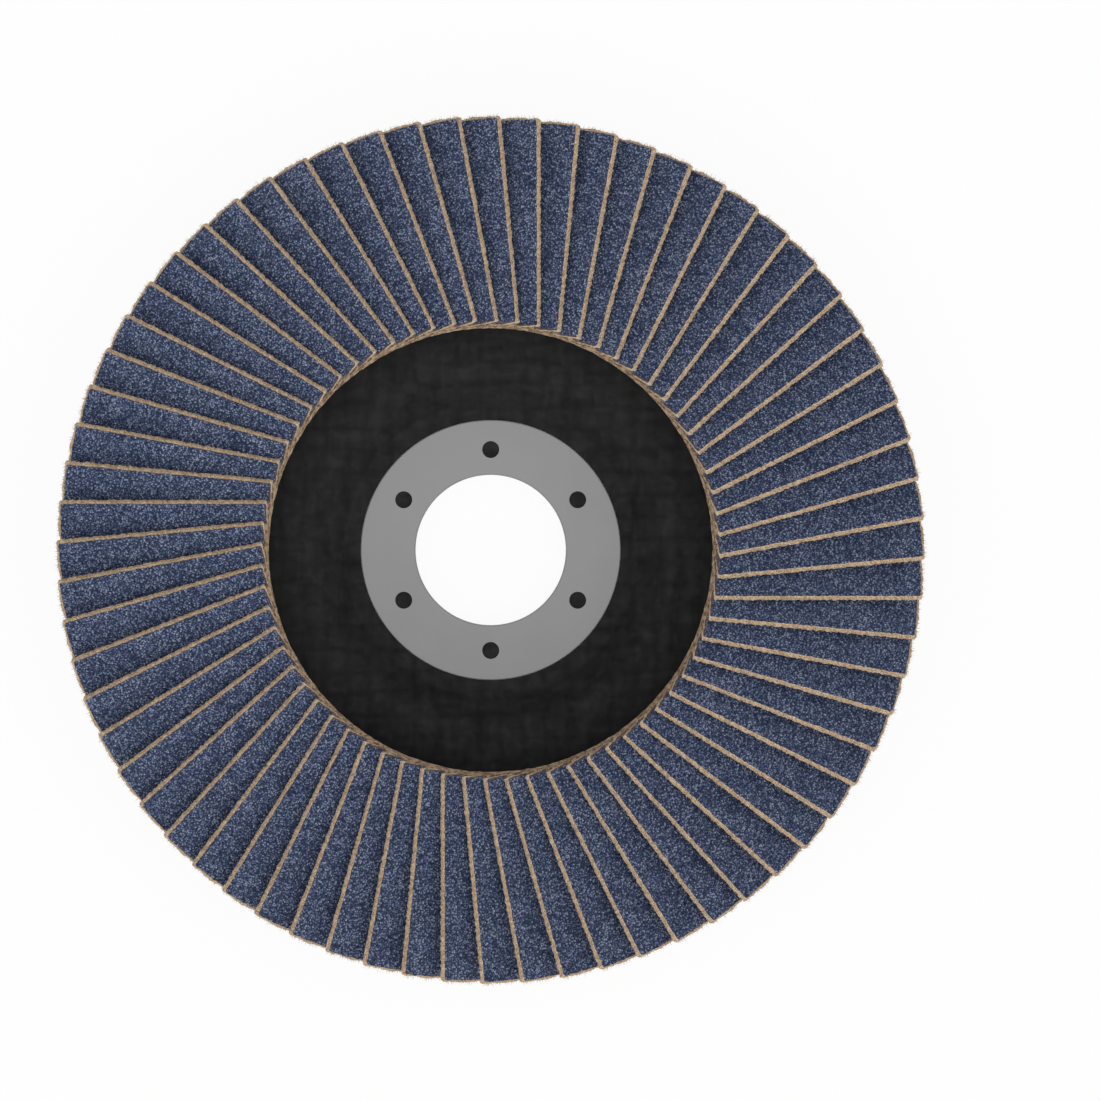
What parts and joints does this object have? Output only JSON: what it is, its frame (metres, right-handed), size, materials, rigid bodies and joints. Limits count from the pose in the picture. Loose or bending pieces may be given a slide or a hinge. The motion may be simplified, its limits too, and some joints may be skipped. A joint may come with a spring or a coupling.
{
  "type": "flap disc",
  "caption": "Flat flap disc for an angle grinder: overlapping abrasive cloth flaps bonded to a dished glass-fibre plate with a steel centre ring.",
  "frame": {"origin": "on the bore axis, in the plane of the hub's back face, which the disc lies on", "axes": "+Z along the bore axis towards the working side with the flaps, +Y along one flap's length, +X to the right seen from the working side"},
  "size_m": [0.125, 0.125, 0.0164],
  "materials": {
    "glass_fibre_laminate": "black glass-fibre cloth in phenolic resin, moulded, with the weave showing through",
    "ring_steel": "pressed steel, dull zinc-plated",
    "bonding_adhesive": "cured epoxy adhesive, brown, semi-matt",
    "abrasive_cloth": "tan twill backing cloth with a blue-grey zirconia grain coat"
  },
  "bodies": {
    "root": {"backing_plate": "glass_fibre_laminate", "centre_ring": "ring_steel", "adhesive_bed": "bonding_adhesive", "flap_pair_01": "abrasive_cloth", "flap_pair_02": "abrasive_cloth", "flap_pair_03": "abrasive_cloth", "flap_pair_04": "abrasive_cloth", "flap_pair_05": "abrasive_cloth", "flap_pair_06": "abrasive_cloth", "flap_pair_07": "abrasive_cloth", "flap_pair_08": "abrasive_cloth", "flap_pair_09": "abrasive_cloth", "flap_pair_10": "abrasive_cloth", "flap_pair_11": "abrasive_cloth", "flap_pair_12": "abrasive_cloth", "flap_pair_13": "abrasive_cloth", "flap_pair_14": "abrasive_cloth", "flap_pair_15": "abrasive_cloth", "flap_pair_16": "abrasive_cloth", "flap_pair_17": "abrasive_cloth", "flap_pair_18": "abrasive_cloth", "flap_pair_19": "abrasive_cloth", "flap_pair_20": "abrasive_cloth", "flap_pair_21": "abrasive_cloth", "flap_pair_22": "abrasive_cloth", "flap_pair_23": "abrasive_cloth", "flap_pair_24": "abrasive_cloth", "flap_pair_25": "abrasive_cloth", "flap_pair_26": "abrasive_cloth", "flap_pair_27": "abrasive_cloth", "flap_pair_28": "abrasive_cloth", "flap_pair_29": "abrasive_cloth", "flap_pair_30": "abrasive_cloth", "flap_pair_31": "abrasive_cloth", "flap_pair_32": "abrasive_cloth", "flap_pair_33": "abrasive_cloth", "flap_pair_34": "abrasive_cloth"}
  },
  "joints": []
}
